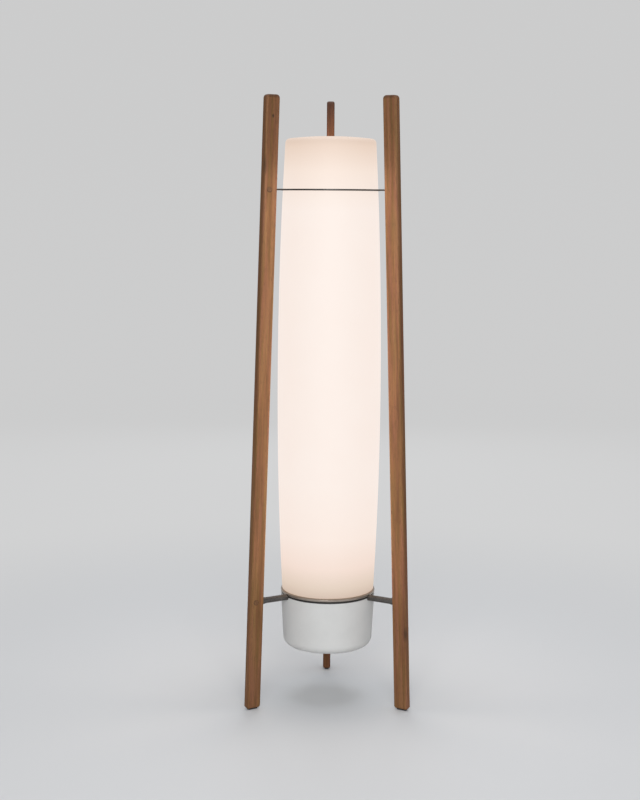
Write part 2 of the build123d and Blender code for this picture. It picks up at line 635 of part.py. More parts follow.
with BuildPart() as terminal_screws:
    for x, y in terminal_screw_points:
        reach = TERMINAL_HEIGHT + TRAY_THICKNESS
        pan_screw(downward_plane(x, y, terminal_bottom), SMALL_SCREW_RADIUS, reach)

driver_face = DRIVER_WIDTH / 2 - DRIVER_PLACE
terminal_face = TERMINAL_PLACE - TERMINAL_WIDTH / 2
with BuildPart() as mains_leads:
    for side in (-1, 1):
        start = Plane(origin=(side * MAINS_LEAD_SPREAD, driver_face, lead_height), z_dir=(0, 1, 0))
        with BuildSketch(start):
            Circle(LEAD_RADIUS)
        extrude(amount=terminal_face - driver_face)

# Spine, its foot and the two lamp brackets
lower_exit = lower_bracket_top + HOLDER_HEIGHT / 2
upper_exit = lamp_high + HOLDER_HEIGHT / 3
lead_exits = ((LEAD_SPACING * 3 / 2, lower_exit), (LEAD_SPACING / 2, upper_exit))

with BuildPart() as spine:
    with BuildSketch(Plane.XY.offset(foot_plate_top)):
        RectangleRounded(SPINE_LENGTH_X, SPINE_WIDTH_Y, SPINE_CORNER)
        Rectangle(SPINE_LENGTH_X - 2 * SPINE_WALL, SPINE_WIDTH_Y - 2 * SPINE_WALL, mode=Mode.SUBTRACT)
    extrude(amount=spine_top - foot_plate_top)
    for height in (lower_exit, upper_exit):
        with Locations(Plane(origin=(0, 0, height), z_dir=(1, 0, 0))):
            Cylinder(LEAD_RADIUS + SCREW_ROOM, SPINE_LENGTH_X, mode=Mode.SUBTRACT)
    collar_middle = foot_plate_top + COLLAR_HEIGHT / 2
    collar_screw_heights = [collar_middle + side * COLLAR_SCREW_SPACING / 2 for side in (-1, 1)]
    for height in collar_screw_heights:
        with Locations(Plane(origin=(0, -SPINE_WIDTH_Y / 2, height), z_dir=(0, -1, 0))):
            Hole(FOOT_SCREW_RADIUS + CLOSE_FIT, SPINE_WALL)

collar_front = -(SPINE_WIDTH_Y / 2 + CLOSE_FIT + COLLAR_WALL)
bracket_screw_offset = SPINE_LENGTH_X / 2 + CLOSE_FIT + COLLAR_WALL / 2
bracket_screw_points = [(side * bracket_screw_offset, 0) for side in (-1, 1)]
with BuildPart() as spine_foot:
    with BuildSketch(Plane.XY.offset(RING_BOTTOM)):
        RectangleRounded(FOOT_PLATE_LENGTH, FOOT_PLATE_WIDTH, FOOT_PLATE_CORNER)
        SlotOverall(lip_length + 2 * SCREW_ROOM, lip_width + 2 * SCREW_ROOM, mode=Mode.SUBTRACT)
        with Locations(foot_screw_points):
            Circle(FOOT_SCREW_RADIUS + SCREW_ROOM, mode=Mode.SUBTRACT)
    extrude(amount=FOOT_PLATE_THICKNESS)
    with BuildSketch(Plane.XY.offset(foot_plate_top)):
        socket_length = SPINE_LENGTH_X + 2 * CLOSE_FIT
        socket_width = SPINE_WIDTH_Y + 2 * CLOSE_FIT
        RectangleRounded(socket_length + 2 * COLLAR_WALL, socket_width + 2 * COLLAR_WALL, SPINE_CORNER)
        Rectangle(socket_length, socket_width, mode=Mode.SUBTRACT)
    extrude(amount=COLLAR_HEIGHT)
    for height in collar_screw_heights:
        with Locations(Plane(origin=(0, collar_front, height), z_dir=(0, -1, 0))):
            Hole(FOOT_SCREW_RADIUS + SCREW_ROOM, COLLAR_WALL)
    with Locations([upward_plane(x, y, collar_top) for x, y in bracket_screw_points]):
        Hole(SMALL_SCREW_RADIUS + CLOSE_FIT, BRACKET_SCREW_BITE)

with BuildPart() as spine_screws:
    for x, y in foot_screw_points:
        reach = FOOT_PLATE_THICKNESS + TRAY_THICKNESS
        pan_screw(upward_plane(x, y, foot_plate_top), FOOT_SCREW_RADIUS, reach)
    for height in collar_screw_heights:
        seat = Plane(origin=(0, collar_front, height), z_dir=(0, -1, 0))
        reach = COLLAR_WALL + CLOSE_FIT + SPINE_WALL + COLLAR_SCREW_PAST_WALL
        pan_screw(seat, FOOT_SCREW_RADIUS, reach)

with BuildPart() as lower_lamp_bracket:
    with BuildSketch(Plane.XY.offset(collar_top)):
        RectangleRounded(bracket_length, BRACKET_WIDTH, BRACKET_CORNER)
        Rectangle(SPINE_LENGTH_X + 2 * CLOSE_FIT, SPINE_WIDTH_Y + 2 * CLOSE_FIT, mode=Mode.SUBTRACT)
        with Locations(bracket_screw_points):
            Circle(SMALL_SCREW_RADIUS + SCREW_ROOM, mode=Mode.SUBTRACT)
    extrude(amount=BRACKET_THICKNESS)

with BuildPart() as upper_lamp_bracket:
    with BuildSketch(Plane.XY.offset(spine_top)):
        RectangleRounded(bracket_length, BRACKET_WIDTH, BRACKET_CORNER)
        Circle(SMALL_SCREW_RADIUS + SCREW_ROOM, mode=Mode.SUBTRACT)
    extrude(amount=BRACKET_THICKNESS)

with BuildPart() as spine_plug:
    with BuildSketch(Plane.XY.offset(spine_top - PLUG_BLOCK_HEIGHT)):
        room = 2 * (SPINE_WALL + CLOSE_FIT)
        Rectangle(SPINE_LENGTH_X - room, SPINE_WIDTH_Y - room)
        Circle(SMALL_SCREW_RADIUS + CLOSE_FIT, mode=Mode.SUBTRACT)
    extrude(amount=PLUG_BLOCK_HEIGHT)

with BuildPart() as bracket_screws:
    for x, y in bracket_screw_points:
        reach = BRACKET_THICKNESS + BRACKET_SCREW_BITE
        pan_screw(upward_plane(x, y, lower_bracket_top), SMALL_SCREW_RADIUS, reach)
    seat = upward_plane(0, 0, spine_top + BRACKET_THICKNESS)
    pan_screw(seat, SMALL_SCREW_RADIUS, BRACKET_THICKNESS + PLUG_BLOCK_HEIGHT)


# Leads from the driver, up inside the spine and out to the lampholders
def add_lead(points):
    """Round lead along straight runs joined by bends."""
    with BuildLine() as route:
        FilletPolyline(*points, radius=LEAD_BEND)
    with BuildSketch(Plane(origin=route.line @ 0, z_dir=route.line % 0)) as section:
        Circle(LEAD_RADIUS)
    sweep(section.sketch, path=route.line)


with BuildPart() as lamp_leads:
    for offset, exit_height in lead_exits:
        for side in (-1, 1):
            add_lead(
                [
                    (side * offset, driver_face, lead_height),
                    (side * offset, 0, lead_height),
                    (side * offset, 0, exit_height),
                    (side * (lamp_offset - HOLDER_RADIUS), 0, exit_height),
                ]
            )


# Lamps: a glass tube with two pin caps, held in rotors that turn in fixed holders
def lamp_ends(side):
    """Planes at the two ends of a lamp, facing out of the lamp."""
    x = side * lamp_offset
    return [downward_plane(x, 0, lamp_low), upward_plane(x, 0, lamp_high)]


with BuildPart() as lampholders:
    for side in (-1, 1):
        for end in lamp_ends(side):
            with Locations(end):
                Cylinder(HOLDER_RADIUS, HOLDER_HEIGHT, align=UPWARDS)
                Cylinder(
                    ROTOR_RADIUS + RUNNING_FIT,
                    ROTOR_THICKNESS + ROTOR_BACK_GAP,
                    align=UPWARDS,
                    mode=Mode.SUBTRACT,
                )
            with Locations(Plane(origin=end.origin, x_dir=(side, 0, 0), z_dir=end.z_dir)):
                Box(
                    HOLDER_RADIUS,
                    HOLDER_SLOT_WIDTH,
                    ROTOR_SLOT_DEPTH,
                    align=(Align.MIN, Align.CENTER, Align.MIN),
                    mode=Mode.SUBTRACT,
                )


def make_tube(side):
    with BuildPart() as glass:
        with BuildSketch(upward_plane(side * lamp_offset, 0, lamp_low + CAP_LENGTH)):
            Circle(TUBE_RADIUS)
            Circle(TUBE_RADIUS - TUBE_WALL, mode=Mode.SUBTRACT)
        extrude(amount=lamp_high - lamp_low - 2 * CAP_LENGTH)
    return glass.part


def make_caps(side):
    with BuildPart() as caps:
        for end in lamp_ends(side):
            with Locations(end):
                Cylinder(CAP_RADIUS, CAP_LENGTH, align=DOWNWARDS)
                with GridLocations(PIN_SPACING, PIN_SPACING, 1, 2):
                    Cylinder(PIN_RADIUS, PIN_LENGTH, align=UPWARDS)
    return caps.part


def make_rotors(side):
    with BuildPart() as rotors:
        for end in lamp_ends(side):
            with Locations(end):
                Cylinder(ROTOR_RADIUS, ROTOR_THICKNESS, align=UPWARDS)
                Box(
                    2 * (PIN_RADIUS + CLOSE_FIT),
                    2 * ROTOR_RADIUS,
                    ROTOR_SLOT_DEPTH,
                    align=UPWARDS,
                    mode=Mode.SUBTRACT,
                )
    return rotors.part


lamps = {}
for name, side in (("left", -1), ("right", 1)):
    lamps[f"lamp_tube_{name}"] = make_tube(side)
    lamps[f"lamp_caps_{name}"] = make_caps(side)
    lamps[f"lamp_rotors_{name}"] = make_rotors(side)

# Drum with its seal, pillars and captive screws
def arm_notches():
    """Saddles for the arms, open at the top, cut through what stands round the lamp's axis."""
    width = ARM_RADIUS + NOTCH_GAP
    reach = ring_outer - arm_inner
    for angle in LEG_ANGLES.values():
        with BuildSketch(outward_plane(angle, arm_inner, arm_height)) as saddle:
            Circle(width)
        extrude(saddle.sketch, amount=reach, mode=Mode.SUBTRACT)
        middle = place(angle, arm_inner + reach / 2, arm_height)
        with BuildSketch(Plane(origin=middle, x_dir=outwards(angle), z_dir=(0, 0, 1))) as way_out:
            Rectangle(reach, 2 * width)
        extrude(way_out.sketch, amount=RING_BOTTOM - arm_height, mode=Mode.SUBTRACT)


with BuildPart() as drum:
    with BuildSketch(Plane.XZ):
        with BuildLine():
            Polyline(
                (0, drum_floor),
                (drum_floor_radius, drum_floor),
                (drum_rim_radius, drum_rim),
                (0, drum_rim),
                close=True,
            )
        make_face()
    revolve(axis=Axis.Z)
    fillet(drum.edges().filter_by(GeomType.CIRCLE).sort_by(Axis.Z)[0], DRUM_BOTTOM_ROUND)
    with BuildSketch(Plane.XZ) as drum_hollow:
        with BuildLine():
            Polyline(
                (0, drum_floor_top),
                (drum_floor_radius - DRUM_WALL, drum_floor_top),
                (drum_rim_radius - DRUM_WALL, drum_rim - DRUM_LIP_THICKNESS),
                (0, drum_rim - DRUM_LIP_THICKNESS),
                close=True,
            )
        make_face()
        outer_corners = drum_hollow.vertices().sort_by(Axis.X)[-2:]
        fillet(outer_corners.sort_by(Axis.Y)[0], DRUM_BOTTOM_ROUND - DRUM_WALL)
        with Locations((0, drum_rim)):
            Rectangle(
                drum_rim_radius - DRUM_LIP_WIDTH,
                DRUM_LIP_THICKNESS,
                align=(Align.MIN, Align.MAX),
            )
    revolve(axis=Axis.Z, mode=Mode.SUBTRACT)
    with Locations(upward_plane(0, 0, drum_floor_top)):
        Hole(GLAND_THREAD_RADIUS + SCREW_ROOM, DRUM_WALL)
    with Locations([upward_plane(x, y, drum_floor_top) for x, y in pillar_points]):
        Hole(PILLAR_SCREW_RADIUS + SCREW_ROOM, DRUM_WALL)
    arm_notches()

with BuildPart() as drum_seal:
    seal_outer = drum_rim_radius - SEAL_SETBACK
    tube(drum_rim, RING_BOTTOM, seal_outer, seal_outer - SEAL_WIDTH)
    arm_notches()

pillar_bottom = drum_floor_top + PILLAR_GAP
with BuildPart() as pillars:
    with Locations([upward_plane(x, y, pillar_bottom) for x, y in pillar_points]):
        Cylinder(PILLAR_RADIUS, tray_bottom - pillar_bottom, align=UPWARDS)
    with Locations([upward_plane(x, y, tray_bottom) for x, y in pillar_points]):
        Hole(PILLAR_SCREW_RADIUS + CLOSE_FIT, PILLAR_SCREW_BITE)
    with Locations([downward_plane(x, y, pillar_bottom) for x, y in pillar_points]):
        Hole(PILLAR_SCREW_RADIUS + RUNNING_FIT, PILLAR_SCREW_BITE + SCREW_ROOM)

with BuildPart() as pillar_screws:
    for x, y in pillar_points:
        pan_screw(upward_plane(x, y, RING_BOTTOM), PILLAR_SCREW_RADIUS, TRAY_THICKNESS + PILLAR_SCREW_BITE)

with BuildPart() as captive_screws:
    for x, y in pillar_points:
        reach = DRUM_WALL + PILLAR_GAP + PILLAR_SCREW_BITE
        pan_screw(downward_plane(x, y, drum_floor), PILLAR_SCREW_RADIUS, reach)

# Cable gland in the middle of the drum's floor
with BuildPart() as gland_body:
    with BuildSketch(Plane.XY.offset(gland_flange_bottom)):
        RegularPolygon(GLAND_FLANGE_RADIUS, HEXAGON_COUNT)
    extrude(amount=GLAND_FLANGE_HEIGHT)
    with Locations(upward_plane(0, 0, gland_flange_top)):
        Cylinder(GLAND_THREAD_RADIUS, GLAND_THREAD_LENGTH, align=UPWARDS)
    with Locations(upward_plane(0, 0, gland_flange_bottom)):
        Cylinder(GLAND_NECK_RADIUS, GLAND_NECK_LENGTH, align=DOWNWARDS)
    with Locations(downward_plane(0, 0, gland_neck_bottom)):
        Hole(CABLE_RADIUS)
        Hole(GLAND_INSERT_RADIUS + CLOSE_FIT, GLAND_NECK_LENGTH)

with BuildPart() as gland_washer:
    tube(gland_flange_top, drum_floor, GLAND_WASHER_RADIUS, GLAND_THREAD_RADIUS + CLOSE_FIT)

with BuildPart() as gland_locknut:
    with BuildSketch(Plane.XY.offset(drum_floor_top)):
        RegularPolygon(LOCKNUT_RADIUS, HEXAGON_COUNT)
        Circle(GLAND_THREAD_RADIUS + CLOSE_FIT, mode=Mode.SUBTRACT)
    extrude(amount=LOCKNUT_HEIGHT)

with BuildPart() as gland_insert:
    tube(gland_neck_bottom, gland_flange_bottom, GLAND_INSERT_RADIUS, CABLE_RADIUS)

with BuildPart() as gland_nut:
    nut_top = gland_flange_bottom - GLAND_NUT_GAP
    with Locations(upward_plane(0, 0, gland_bottom)):
        Cylinder(GLAND_NUT_RADIUS, nut_top - gland_bottom, align=UPWARDS)
    fillet(gland_nut.edges().filter_by(GeomType.CIRCLE).sort_by(Axis.Z)[0], GLAND_NUT_ROUND)
    with Locations(upward_plane(0, 0, nut_top)):
        Hole(GLAND_NECK_RADIUS + CLOSE_FIT, nut_top - gland_neck_bottom)
        Hole(CABLE_RADIUS)

# Every piece is set down about the middle of the lamp's outline in plan, labelled and written
plan_boxes = [part.bounding_box() for part in (*legs.values(), diffuser.part)]
front = min(box.min.Y for box in plan_boxes)
rear = max(box.max.Y for box in plan_boxes)
on_floor = Location((0, -(front + rear) / 2, 0))
pieces = {
    **legs,
    **arms,
    **lamps,
    "foot_pads": foot_pads.part,
    "foot_pad_screws": foot_pad_screws.part,
    "arm_dowels": arm_dowels,
    "hoop_dowels": hoop_dowels,
    "leg_plugs": leg_plugs.part,
    "support_ring": support_ring.part,
    "ring_screws": ring_screws.part,
    "upper_hoop": upper_hoop.part,
    "hoop_rods": hoop_rods.part,
    "diffuser": diffuser.part,
    "diffuser_gasket": diffuser_gasket.part,
    "diffuser_inserts": diffuser_inserts.part,
    "diffuser_screws": diffuser_screws.part,
    "gear_tray": gear_tray.part,
    "tray_screws": tray_screws.part,
    "tray_grommet": tray_grommet.part,
    "driver": driver.part,
    "driver_screws": driver_screws.part,
    "terminal_block": terminal_block.part,
    "terminal_screws": terminal_screws.part,
    "mains_leads": mains_leads.part,
    "spine": spine.part,
    "spine_foot": spine_foot.part,
    "spine_screws": spine_screws.part,
    "lower_lamp_bracket": lower_lamp_bracket.part,
    "upper_lamp_bracket": upper_lamp_bracket.part,
    "spine_plug": spine_plug.part,
    "bracket_screws": bracket_screws.part,
    "lamp_leads": lamp_leads.part,
    "lampholders": lampholders.part,
    "drum": drum.part,
    "drum_seal": drum_seal.part,
    "pillars": pillars.part,
    "pillar_screws": pillar_screws.part,
    "captive_screws": captive_screws.part,
    "gland_body": gland_body.part,
    "gland_washer": gland_washer.part,
    "gland_locknut": gland_locknut.part,
    "gland_insert": gland_insert.part,
    "gland_nut": gland_nut.part,
}
os.makedirs("parts", exist_ok=True)
for name, part in pieces.items():
    piece = part.moved(on_floor)
    piece.label = name
    export_step(piece, f"parts/{name}.step")
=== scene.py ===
import math
from collections import namedtuple

import bpy
import numpy as np
from mathutils import Matrix, Vector


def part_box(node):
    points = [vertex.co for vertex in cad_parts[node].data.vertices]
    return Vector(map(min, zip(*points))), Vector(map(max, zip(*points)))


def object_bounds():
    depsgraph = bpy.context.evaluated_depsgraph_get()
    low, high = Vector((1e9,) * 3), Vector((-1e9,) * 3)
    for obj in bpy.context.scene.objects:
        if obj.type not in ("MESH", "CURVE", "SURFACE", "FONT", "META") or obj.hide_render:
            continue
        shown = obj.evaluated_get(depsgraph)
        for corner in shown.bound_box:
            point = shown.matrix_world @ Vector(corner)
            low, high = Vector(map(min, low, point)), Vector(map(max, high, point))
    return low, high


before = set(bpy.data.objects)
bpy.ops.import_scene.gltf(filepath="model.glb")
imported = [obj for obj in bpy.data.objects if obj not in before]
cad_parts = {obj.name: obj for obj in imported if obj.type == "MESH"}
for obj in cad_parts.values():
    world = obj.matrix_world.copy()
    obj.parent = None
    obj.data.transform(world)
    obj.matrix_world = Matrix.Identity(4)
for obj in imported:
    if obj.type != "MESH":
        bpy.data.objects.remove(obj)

# Outdoor floor lamp: materials, stage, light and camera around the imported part.
# Metres, +Z up, -Y towards the camera, all in the part's own frame.

cad_low, cad_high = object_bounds()
scene = bpy.context.scene

barrel_low, barrel_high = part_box("diffuser")
AXIS = (barrel_low + barrel_high) / 2  # the lamp's upright axis, in plan
AXIS_FOOT = Vector((AXIS.x, AXIS.y, 0))
BARREL_RADIUS = (barrel_high.x - barrel_low.x) / 2  # at its widest
LEG_TOP = cad_high.z
LEG_FOOT_RADIUS = 0.244  # leg's centre line to the axis at the floor
LEG_TOP_RADIUS = 0.1845  # leg's centre line to the axis at the top
LEG_FACE = 0.011  # wide face to the leg's middle
PLUG_RADIUS = 0.0065
PLUG_OUT = 0.0035  # plug's middle outwards of the leg's
PLUG_LEVELS = [sum(corner.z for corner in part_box(node)) / 2 for node in ("arm_left", "upper_hoop")]
PLUG_PLACES = [Vector((LEG_FACE, -PLUG_OUT, level)) for level in PLUG_LEVELS]  # in a leg's own axes

MM_PER_M = 1000
MIX_FACTOR, MIX_FIRST, MIX_SECOND, MIX_COLOUR = 0, 6, 7, 2  # sockets of a colour mix
NOISE_ROUGHNESS = 0.6  # strength of each finer layer of a pattern
NOISE_LOW, NOISE_HIGH = 0.3, 0.7  # nearly all of a pattern lies between these
NOISE_SPAN = {"From Min": NOISE_LOW, "From Max": NOISE_HIGH}


def srgb(code):
    """Linear RGBA of an sRGB hex code."""
    values = [int(code[i : i + 2], 16) / 255 for i in (1, 3, 5)]
    return [v / 12.92 if v <= 0.04045 else ((v + 0.055) / 1.055) ** 2.4 for v in values] + [1.0]


def join(tree, node, sockets):
    """Sets a node's sockets, by name or number, to constants or to other nodes' outputs."""
    for key, value in sockets.items():
        if isinstance(value, bpy.types.NodeSocket):
            tree.links.new(value, node.inputs[key])
        else:
            node.inputs[key].default_value = value


def add(tree, kind, output, sockets, stops=(), **settings):
    """Adds a node with its settings, sockets and a ramp's (place, hex) stops; gives one output."""
    node = tree.nodes.new("ShaderNode" + kind)
    for name, value in settings.items():
        setattr(node, name, value)
    join(tree, node, sockets)
    for _ in stops[2:]:  # a ramp starts with two
        node.color_ramp.elements.new(0.5)
    for index, (position, code) in enumerate(stops):
        node.color_ramp.elements[index].position = position
        node.color_ramp.elements[index].color = srgb(code)
    return node.outputs[output]


def begin(name):
    """New material: itself, its node tree, its shader and the object's own coordinates."""
    made = bpy.data.materials.new(name)
    made.use_nodes = True
    tree = made.node_tree
    shader = next(n for n in tree.nodes if n.type == "BSDF_PRINCIPLED")
    return made, tree, shader, add(tree, "TexCoord", "Object", {})


def mottle(tree, place, lengths, detail, shift=(0, 0, 0)):
    """Uneven pattern from 0 to 1, whose features are these millimetres long in x, y and z."""
    cycles = [MM_PER_M / length for length in lengths]
    spaced = add(tree, "Mapping", "Vector", {"Vector": place, "Scale": cycles, "Location": shift})
    layers = {"Vector": spaced, "Scale": 1.0, "Detail": detail, "Roughness": NOISE_ROUGHNESS}
    return add(tree, "TexNoise", "Fac", layers)


def leg_frame(angle):
    """Leg's foot and its turned axes: x around the lamp, y towards the axis, z up the leg."""
    turn = math.radians(angle)
    outwards = Vector((math.cos(turn), math.sin(turn), 0))
    around = Vector((-math.sin(turn), math.cos(turn), 0))
    up = (outwards * (LEG_TOP_RADIUS - LEG_FOOT_RADIUS) + Vector((0, 0, LEG_TOP))).normalized()
    foot = AXIS_FOOT + outwards * LEG_FOOT_RADIUS
    return foot, Matrix((around, up.cross(around), up)).transposed()


# Planed and oiled tropical hardwood: soft bands a finger's width across run up the leg, reddish
# brown with pink and olive tints, over dark fibres and pores. The end grain at the top drinks more
# oil and is darker, and painted shade darkens each leg's top further, deepest on the rear leg.
# There are dark outlines round the plugs, a knot and two streaks of heartwood.
# Patterns are in millimetres across and along the leg.
WOOD_BANDS = (
    (0.28, "#6c472a"),
    (0.42, "#805532"),
    (0.52, "#8d5f38"),
    (0.62, "#996c45"),
    (0.76, "#8a5b38"),
)
BAND_SIZE = (13, 13, 420)
TINT_SIZE = (10, 10, 210)
PINK_TINT = ({"From Min": 0.50, "From Max": 0.64, "To Min": 0.0, "To Max": 0.60}, "#956047")
OLIVE_TINT = ({"From Min": 0.36, "From Max": 0.48, "To Min": 0.50, "To Max": 0.0}, "#826333")
FIBRE_SIZE = (1.4, 1.4, 110)  # drawn coarser than real fibres, so that they show
FIBRE_TONES = ((0.32, "#94877d"), (0.62, "#ffffff"))
FIBRE_SHARE = 0.45
PORE_SIZE = (0.6, 0.6, 18)
PORE_SPAN = {"From Min": 0.62, "From Max": 0.70, "To Max": 0.7}
PORE_COLOUR = "#3d2413"
# Darkened top of each leg: the end grain's oil, with painted shade over it
TOP_OIL_AND_SHADE_COLOUR = "#351b0c"
TOP_OIL_AND_SHADE_FULL = 0.002  # below the top, as dark as the oiled end grain with its painted shade gets
MARK_COLOUR = "#291a0a"
WOOD_IOR = 1.47
WOOD_ROUGH = {"To Min": 0.80, "To Max": 0.68}  # in dark and in light bands
WOOD_RELIEF = {"Strength": 0.35, "Distance": 0.0003}
SEED_STEPS = (3.7, 1.9, 5.3)  # each leg's pattern is this far from the one before it

# Dark marks in a leg's own axes: each is an oval about its place, full to one radius and gone at
# another. The weights of x, y and z in that radius stretch it: below 1 it reaches further.
Mark = namedtuple("Mark", "place weights full_to gone_at strength")
PLUG_OUTLINE_FULL = 0.0004  # outside the plug
PLUG_OUTLINE_GONE = 0.0016
# A dark outline round each plug, just outside it
PLUG_OUTLINES = [
    Mark(plug, (0.5, 1.0, 1.0), PLUG_RADIUS + PLUG_OUTLINE_FULL, PLUG_RADIUS + PLUG_OUTLINE_GONE, strength=0.9)
    for plug in PLUG_PLACES
]
KNOT = Mark(
    place=Vector((LEG_FACE, 0.0005, 1.644)),
    weights=(1.0, 1.0, 0.6),
    full_to=0.0012,
    gone_at=0.0042,
    strength=0.9,
)
UPPER_STREAK = Mark(
    place=Vector((LEG_FACE, -0.019, 1.513)),
    weights=(0.6, 1.0, 0.28),
    full_to=0.0015,
    gone_at=0.0085,
    strength=0.5,
)
LOWER_STREAK = Mark(
    place=Vector((-LEG_FACE, -0.0195, 0.222)),
    weights=(0.6, 1.0, 0.32),
    full_to=0.0020,
    gone_at=0.0085,
    strength=0.65,
)

# Each leg has its degrees around the lamp's axis, a tone over its wood, the depth and strength of
# its darkened top, and its marks. The rear leg's darker, redder tone and its deep dark top are
# painted shade: it stands behind the barrel, out of the front light and the barrel's glow.
Leg = namedtuple("Leg", "angle tone soak_depth soak_share marks")
LEGS = {
    "left": Leg(210.0, "#f8f9f6", 0.009, 0.60, [*PLUG_OUTLINES, KNOT, UPPER_STREAK]),
    "right": Leg(330.0, "#ffffff", 0.009, 0.60, [*PLUG_OUTLINES, LOWER_STREAK]),
    # rear leg: darker, redder tone and a deep dark top, both painted shade
    "rear": Leg(90.0, "#fce3e7", 0.095, 0.78, PLUG_OUTLINES),
}


def hardwood(name, leg, seed):
    """One leg's wood: the pattern stands in the leg's own leaning axes, set off by a seed."""
    made, tree, shader, place = begin(name)
    foot, axes = leg_frame(leg.angle)
    turned = {"Vector": place, "Location": foot, "Rotation": axes.to_euler()}
    along = add(tree, "Mapping", "Vector", turned, vector_type="TEXTURE")
    shift = [seed * step for step in SEED_STEPS]

    bands = mottle(tree, along, BAND_SIZE, detail=3.0, shift=shift)
    colour = add(tree, "ValToRGB", "Color", {"Fac": bands}, WOOD_BANDS)
    tints = mottle(tree, along, TINT_SIZE, detail=2.0, shift=shift[::-1])
    for limits, tint in (PINK_TINT, OLIVE_TINT):
        share = add(tree, "MapRange", "Result", {"Value": tints, **limits})
        mixed = {MIX_FACTOR: share, MIX_FIRST: colour, MIX_SECOND: srgb(tint)}
        colour = add(tree, "Mix", MIX_COLOUR, mixed, data_type="RGBA")

    fibres = mottle(tree, along, FIBRE_SIZE, detail=3.0, shift=shift)
    lines = add(tree, "ValToRGB", "Color", {"Fac": fibres}, FIBRE_TONES)
    mixed = {MIX_FACTOR: FIBRE_SHARE, MIX_FIRST: colour, MIX_SECOND: lines}
    colour = add(tree, "Mix", MIX_COLOUR, mixed, data_type="RGBA", blend_type="MULTIPLY")
    # each leg's tone over its wood; on the rear leg it is painted shade
    mixed = {MIX_FACTOR: 1.0, MIX_FIRST: colour, MIX_SECOND: srgb(leg.tone)}
    colour = add(tree, "Mix", MIX_COLOUR, mixed, data_type="RGBA", blend_type="MULTIPLY")

    pores = mottle(tree, along, PORE_SIZE, detail=1.0, shift=shift)
    pitted = add(tree, "MapRange", "Result", {"Value": pores, **PORE_SPAN})
    mixed = {MIX_FACTOR: pitted, MIX_FIRST: colour, MIX_SECOND: srgb(PORE_COLOUR)}
    colour = add(tree, "Mix", MIX_COLOUR, mixed, data_type="RGBA")

    # Darker towards the top: the end grain's oil, and painted shade that reaches far down the rear
    # leg
    limits = {
        "Value": add(tree, "SeparateXYZ", "Z", {"Vector": along}),
        "From Min": LEG_TOP - leg.soak_depth,
        "From Max": LEG_TOP - TOP_OIL_AND_SHADE_FULL,
        "To Max": leg.soak_share,
    }
    oil_and_shade_mask = add(tree, "MapRange", "Result", limits)
    mixed = {MIX_FACTOR: oil_and_shade_mask, MIX_FIRST: colour, MIX_SECOND: srgb(TOP_OIL_AND_SHADE_COLOUR)}
    colour = add(tree, "Mix", MIX_COLOUR, mixed, data_type="RGBA")

    for mark in leg.marks:
        apart = add(tree, "VectorMath", "Vector", {0: along, 1: mark.place}, operation="SUBTRACT")
        oval = add(tree, "VectorMath", "Vector", {0: apart, 1: mark.weights}, operation="MULTIPLY")
        limits = {
            "Value": add(tree, "VectorMath", "Value", {0: oval}, operation="LENGTH"),
            "From Min": mark.full_to,
            "From Max": mark.gone_at,
            "To Min": mark.strength,
            "To Max": 0.0,
        }
        darkened = add(tree, "MapRange", "Result", limits)
        mixed = {MIX_FACTOR: darkened, MIX_FIRST: colour, MIX_SECOND: srgb(MARK_COLOUR)}
        colour = add(tree, "Mix", MIX_COLOUR, mixed, data_type="RGBA")

    mixed = {MIX_FACTOR: pitted, MIX_FIRST: fibres, MIX_SECOND: srgb("#000000")}
    relief = add(tree, "Mix", MIX_COLOUR, mixed, data_type="RGBA")
    rough = add(tree, "MapRange", "Result", {"Value": bands, **NOISE_SPAN, **WOOD_ROUGH})
    bumps = add(tree, "Bump", "Normal", {"Height": relief, **WOOD_RELIEF})
    looks = {"Base Color": colour, "IOR": WOOD_IOR, "Roughness": rough, "Normal": bumps}
    join(tree, shader, looks)
    return made


# Turned hardwood plugs, end grain outwards: darker than the leg, with a tight speckle of pores.
PLUG_RING_SIZE = (4, 4, 4)
PLUG_TONES = ((NOISE_LOW, "#5c3d22"), (NOISE_HIGH, "#7a5433"))
PLUG_PORE_SIZE = (0.7, 0.7, 0.7)
PLUG_PORE_SPAN = {"From Min": 0.58, "From Max": 0.68, "To Max": 0.6}
PLUG_PORE_COLOUR = "#311d0e"
PLUG_ROUGH = 0.6
PLUG_RELIEF = {"Strength": 0.3, "Distance": 0.0002}


def plug_wood():
    """The plugs' end grain: uneven rings under a speckle that is dark and a little sunk."""
    made, tree, shader, place = begin("plug_hardwood")
    speckle = mottle(tree, place, PLUG_PORE_SIZE, detail=2.0)
    rings = mottle(tree, place, PLUG_RING_SIZE, detail=3.0)
    colour = add(tree, "ValToRGB", "Color", {"Fac": rings}, PLUG_TONES)
    pitted = add(tree, "MapRange", "Result", {"Value": speckle, **PLUG_PORE_SPAN})
    mixed = {MIX_FACTOR: pitted, MIX_FIRST: colour, MIX_SECOND: srgb(PLUG_PORE_COLOUR)}
    colour = add(tree, "Mix", MIX_COLOUR, mixed, data_type="RGBA")
    bumps = add(tree, "Bump", "Normal", {"Height": speckle, **PLUG_RELIEF})
    looks = {"Base Color": colour, "IOR": WOOD_IOR, "Roughness": PLUG_ROUGH, "Normal": bumps}
    join(tree, shader, looks)
    return made


# Real brush lines and moulded grain are finer than the ones of the metals and plastics here, which
# are drawn as coarse as they need to show.
METAL_CLOUD_SIZE = (25, 25, 25)
METAL_ROUGH_SPREAD = (-0.07, 0.09)  # least and most that the grain adds to the roughness
METAL_RELIEF = {"Strength": 0.25, "Distance": 0.00004}
PLASTIC_CLOUD_SIZE = (70, 70, 70)
PLASTIC_ROUGH_SPREAD = (-0.05, 0.08)
PLASTIC_RELIEF = {"Strength": 0.2, "Distance": 0.0001}


